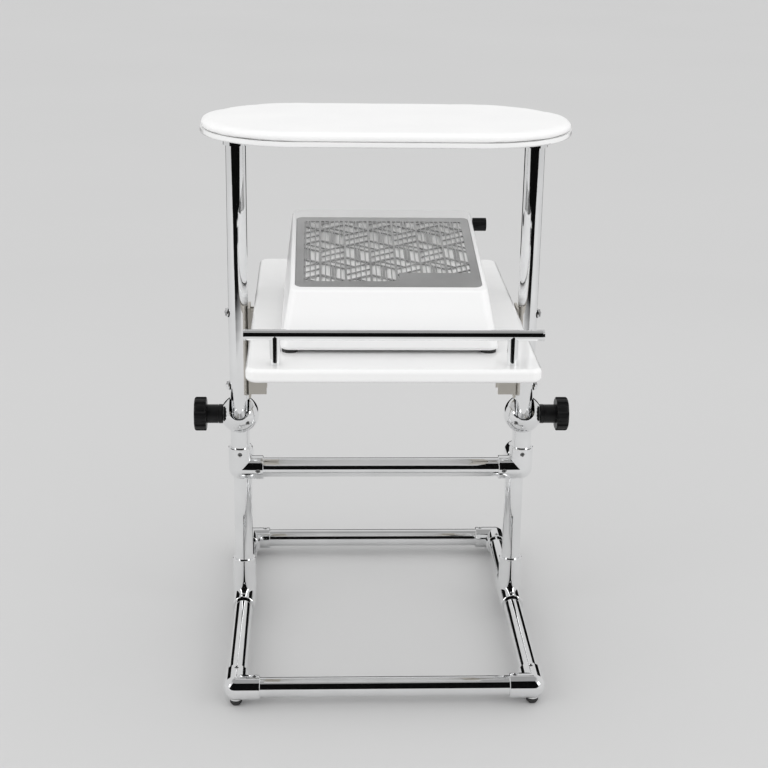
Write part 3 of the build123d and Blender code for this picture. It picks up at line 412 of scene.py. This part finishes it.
# Rows of a flag: distance from the middle, height, half its width in degrees
FRONT_FLAG = [
    (1.25, 0.003, 30),
    (1.6, 0.003, 34),
    (1.9, 0.003, 36),
    (2.1, 0.003, 40),
    (2.15, 0.10, 42),
    (2.17, 0.30, 54),
    (2.2, 1.6, 50),
    (2.2, 4.2, 38),
]
BACK_FLAG = [(1.3, 0.003, 34), (2.1, 0.003, 40), (2.15, 0.05, 40), (2.15, 0.7, 40)]
SURROUND = 0.65             # the surround's brightness at eye level
SURROUND_TOP = 0.34         # and straight overhead, as reflections show it
AMBIENT_FILL = 1.57         # matt surfaces get the surround's light this many times over
SIDE_LIGHT_SIZE = 1.3
SIDE_LIGHT_POWER = 9


def build_floor():
    """A plain pale floor under the feet."""
    mesh = bmesh.new()
    bmesh.ops.create_grid(mesh, x_segments=2, y_segments=2, size=FLOOR_HALF)
    data = bpy.data.meshes.new("floor")
    mesh.to_mesh(data)
    mesh.free()
    floor = bpy.data.objects.new("floor", data)
    floor.location.z = cad_low.z
    bpy.context.scene.collection.objects.link(floor)
    material, tree, shader = new_material("floor_paper")
    place = surface_place(tree)
    vary_colour(tree, shader, noise(tree, place, 0.8), (0.562, 0.562, 0.562), (0.572, 0.572, 0.572))
    shader.inputs["Roughness"].default_value = 0.9
    shader.inputs["Specular IOR Level"].default_value = 0.1
    data.materials.append(material)


def flag(name, heading, rows):
    """A black studio flag that only reflections see, its rows given from near to far."""
    mesh = bmesh.new()
    rings = []
    for distance, height, half in rows:
        ring = []
        for step in range(FLAG_STEPS + 1):
            turn = math.radians(heading + half * (2 * step / FLAG_STEPS - 1))
            point = (distance * math.sin(turn), -distance * math.cos(turn), cad_low.z + height)
            ring.append(mesh.verts.new(point))
        rings.append(ring)
    for lower, upper in zip(rings, rings[1:]):
        for index in range(FLAG_STEPS):
            mesh.faces.new((lower[index], lower[index + 1], upper[index + 1], upper[index]))
    data = bpy.data.meshes.new(name)
    mesh.to_mesh(data)
    mesh.free()
    card = bpy.data.objects.new(name, data)
    bpy.context.scene.collection.objects.link(card)
    material, tree, shader = new_material("flag_cloth")
    place = surface_place(tree, (1, 1, 0))
    length = tree.nodes.new("ShaderNodeVectorMath")
    length.operation = "LENGTH"
    tree.links.new(place, length.inputs[0])
    near = rows[0][0]
    fade = spread(tree, length.outputs["Value"], 0.0, 1.0, near, near + FLAG_FADE)
    clear = tree.nodes.new("ShaderNodeBsdfTransparent")
    blend = tree.nodes.new("ShaderNodeMixShader")
    shader.inputs["Base Color"].default_value = (0.004, 0.004, 0.004, 1)
    shader.inputs["Roughness"].default_value = 1.0
    shader.inputs["Specular IOR Level"].default_value = 0.0
    tree.links.new(fade, blend.inputs["Fac"])
    tree.links.new(clear.outputs["BSDF"], blend.inputs[1])
    tree.links.new(shader.outputs["BSDF"], blend.inputs[2])
    tree.links.new(blend.outputs["Shader"], tree.nodes["Material Output"].inputs["Surface"])
    data.materials.append(material)
    for way in ("camera", "diffuse", "shadow", "transmission"):
        setattr(card, "visible_" + way, False)


def aim(thing, target):
    heading = (Vector(target) - thing.location).normalized()
    thing.rotation_mode = "QUATERNION"
    thing.rotation_quaternion = heading.to_track_quat("-Z", "Y")


def side_light(name, place):
    """A soft box that shows as a gloss on the castings and on black plastic."""
    data = bpy.data.lights.new(name, "AREA")
    data.shape = "SQUARE"
    data.size = SIDE_LIGHT_SIZE
    data.energy = SIDE_LIGHT_POWER
    light = bpy.data.objects.new(name, data)
    light.location = place
    bpy.context.scene.collection.objects.link(light)
    aim(light, (0, 0, (cad_low.z + cad_high.z) / 2))


def soft_sun(name, place, strength, width):
    """Even light from a wide patch of the sky, which mirrors don't show."""
    data = bpy.data.lights.new(name, "SUN")
    data.energy = strength
    data.angle = math.radians(width)
    light = bpy.data.objects.new(name, data)
    light.location = place
    bpy.context.scene.collection.objects.link(light)
    aim(light, (0, 0, (cad_low.z + cad_high.z) / 2))
    light.visible_glossy = False


def build_lights():
    soft_sun("key_sun", (-0.5, -2.6, 2.2), 0.16, 90)
    soft_sun("left_sun", (-3.0, -0.6, 1.6), 0.22, 110)
    soft_sun("right_sun", (3.0, -0.6, 1.6), 0.34, 110)
    side_light("left_light", (-2.4, -1.5, 1.5))
    side_light("right_light", (2.4, -1.4, 1.5))


def build_world():
    """Even pale grey all round, a little darker straight overhead."""
    world = bpy.data.worlds.new("studio")
    world.use_nodes = True
    tree = world.node_tree
    background = tree.nodes["Background"]
    place = tree.nodes.new("ShaderNodeTexCoord")
    parts = tree.nodes.new("ShaderNodeSeparateXYZ")
    tree.links.new(place.outputs["Generated"], parts.inputs["Vector"])
    ramp = tree.nodes.new("ShaderNodeValToRGB")
    ramp.color_ramp.elements[0].position = 0.80
    ramp.color_ramp.elements[0].color = (SURROUND, SURROUND, SURROUND, 1)
    ramp.color_ramp.elements[1].position = 0.92
    ramp.color_ramp.elements[1].color = (SURROUND_TOP, SURROUND_TOP, SURROUND_TOP, 1)
    tree.links.new(parts.outputs["Z"], ramp.inputs["Fac"])
    ray = tree.nodes.new("ShaderNodeLightPath")
    even = tree.nodes.new("ShaderNodeMix")
    even.data_type = "RGBA"
    even.inputs["B"].default_value = (SURROUND, SURROUND, SURROUND, 1)
    tree.links.new(ray.outputs["Is Diffuse Ray"], even.inputs["Factor"])
    tree.links.new(ramp.outputs["Color"], even.inputs["A"])
    tree.links.new(even.outputs["Result"], background.inputs["Color"])
    fill = spread(tree, ray.outputs["Is Diffuse Ray"], 1.0, AMBIENT_FILL, 0, 1)
    tree.links.new(fill, background.inputs["Strength"])
    bpy.context.scene.world = world
    bpy.context.scene.view_settings.view_transform = "Standard"


def build_camera():
    """A long lens a little above the table, almost straight in front and looking down."""
    place = Vector((-0.0857, -1.8953, cad_low.z + 1.0100))
    yaw = 0.045845
    down = math.radians(18.933)
    roll = -0.015734
    level_reach = math.cos(down)
    forward = Vector((math.sin(yaw) * level_reach, math.cos(yaw) * level_reach, -math.sin(down)))
    level = Vector((math.cos(yaw), -math.sin(yaw), 0))
    below = forward.cross(level)
    right = math.cos(roll) * level + math.sin(roll) * below
    up = right.cross(forward)
    data = bpy.data.cameras.new("camera")
    data.sensor_width = 36
    data.lens = 73.19
    camera = bpy.data.objects.new("camera", data)
    camera.matrix_world = Matrix((
        (right.x, up.x, -forward.x, place.x),
        (right.y, up.y, -forward.y, place.y),
        (right.z, up.z, -forward.z, place.z),
        (0, 0, 0, 1),
    ))
    bpy.context.scene.collection.objects.link(camera)
    bpy.context.scene.camera = camera


build_floor()
flag("front_flag", -4.5, FRONT_FLAG)
flag("back_flag", 180, BACK_FLAG)
build_lights()
build_world()
build_camera()
